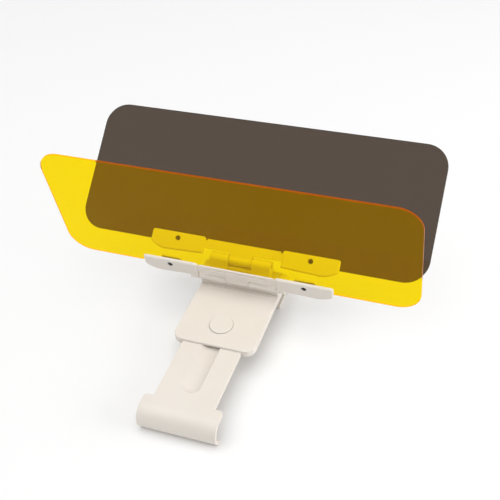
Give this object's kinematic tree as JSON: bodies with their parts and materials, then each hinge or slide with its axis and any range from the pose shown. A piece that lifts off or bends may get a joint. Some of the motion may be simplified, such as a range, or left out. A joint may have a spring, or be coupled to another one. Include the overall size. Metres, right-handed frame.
{
  "type": "clip-on car sun visor",
  "caption": "Clip-on anti-glare car visor: a sliding clamp grips the vehicle's own shade and carries a smoke day lens and a yellow night lens on friction hinges.",
  "frame": {"origin": "centre of the back cover's underside, the face that lies on the car's own visor", "axes": "+X along both hinges, +Y from the sliding hook towards the fixed jaw, +Z out of the clip, away from the car's visor"},
  "size_m": [0.31, 0.252, 0.1561],
  "materials": {
    "ivory_plastic": "satin moulded ABS, ivory",
    "smoke_lens": "polished transparent sheet, brown-grey smoke",
    "yellow_lens": "polished transparent sheet, yellow",
    "steel": "ground steel pin",
    "spring_steel": "drawn spring wire",
    "dark_screw": "black oxide",
    "nylon": "natural nylon",
    "rubber": "soft white silicone sheet"
  },
  "bodies": {
    "clip": {"clip_body": "ivory_plastic", "back_cover": "ivory_plastic", "cover_screws": "dark_screw", "day_hinge_pin": "steel", "night_hinge_pin": "steel", "day_friction_washers": "nylon", "night_friction_washers": "nylon", "button_spring": "spring_steel"},
    "day_flap": {"day_lens": "smoke_lens", "day_carrier": "ivory_plastic", "day_lens_cushions": "rubber", "day_backing_plates": "ivory_plastic", "day_lens_screws": "dark_screw"},
    "night_flap": {"night_lens": "yellow_lens", "night_carrier": "ivory_plastic", "night_lens_cushions": "rubber", "night_backing_plates": "ivory_plastic", "night_lens_screws": "dark_screw"},
    "slider": {"slider_arm": "ivory_plastic"},
    "button": {"lock_button": "ivory_plastic", "lock_foot": "nylon", "foot_screw": "dark_screw"}
  },
  "joints": [
    {"name": "day_lens_hinge", "type": "hinge", "parent": "clip", "child": "day_flap", "pos_m": [0, 0.038, 0.0309], "axis": [1, 0, 0], "range_deg": [-38.8, 34]},
    {"name": "night_lens_hinge", "type": "hinge", "parent": "clip", "child": "night_flap", "pos_m": [0, 0.0276, 0.0178], "axis": [1, 0, 0], "range_deg": [-24, 80]},
    {"name": "slider_slide", "type": "slide", "parent": "clip", "child": "slider", "axis": [0, -1, 0], "range_m": [-0.04, 0.01]},
    {"name": "lock_button_press", "type": "slide", "parent": "clip", "child": "button", "axis": [0, 0, -1], "range_m": [0, 0.0006], "stiffness_N_per_m": 1500, "springref_m": -0.0006, "deforming": ["button_spring"]}
  ]
}
